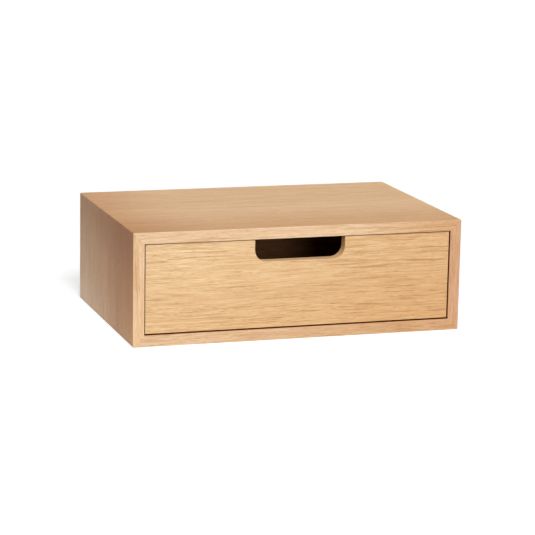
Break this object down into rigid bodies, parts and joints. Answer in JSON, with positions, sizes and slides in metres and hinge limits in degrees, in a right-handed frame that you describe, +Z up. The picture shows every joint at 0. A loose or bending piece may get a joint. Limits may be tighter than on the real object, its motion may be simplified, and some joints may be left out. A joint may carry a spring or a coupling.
{
  "type": "desktop drawer box",
  "caption": "Low oak box with mitred corners and one inset drawer, pulled by a rounded finger cut-out in its top edge; keeps craft supplies and small parts on a desk or shelf.",
  "frame": {"origin": "middle of the case's underside, on the surface that it stands on", "axes": "+X to the right seen from the front, +Y towards the back, +Z up; the drawer pulls out towards -Y"},
  "size_m": [0.36, 0.24, 0.12],
  "materials": {
    "oak_veneer": "satin lacquered oak veneer",
    "oak_edging": "satin lacquered solid oak",
    "oak_front": "satin lacquered oak with open pores",
    "drawer_wood": "planed oak, oiled brown",
    "plywood": "thin veneered plywood",
    "beech": "turned or sawn beech",
    "zinc_screw": "bright zinc plate",
    "glide_tape": "smooth natural polyethylene",
    "bumper_rubber": "soft matt rubber"
  },
  "bodies": {
    "case": {"case_top": "oak_veneer", "case_bottom": "oak_veneer", "case_left_side": "oak_veneer", "case_right_side": "oak_veneer", "edging_top": "oak_edging", "edging_bottom": "oak_edging", "edging_left": "oak_edging", "edging_right": "oak_edging", "mitre_spline_top_left": "beech", "mitre_spline_top_right": "beech", "mitre_spline_bottom_left": "beech", "mitre_spline_bottom_right": "beech", "case_back": "plywood", "back_panel_screws": "zinc_screw", "glide_strip_left": "glide_tape", "glide_strip_right": "glide_tape", "stop_bumper_left": "bumper_rubber", "stop_bumper_right": "bumper_rubber"},
    "drawer": {"drawer_front": "oak_front", "drawer_left_side": "drawer_wood", "drawer_right_side": "drawer_wood", "drawer_back": "drawer_wood", "drawer_bottom": "plywood", "drawer_front_dowels": "beech", "drawer_back_dowels": "beech", "drawer_bottom_screws": "zinc_screw"}
  },
  "joints": [
    {"name": "drawer_slide", "type": "slide", "parent": "case", "child": "drawer", "axis": [0, -1, 0], "range_m": [0, 0.18]}
  ]
}
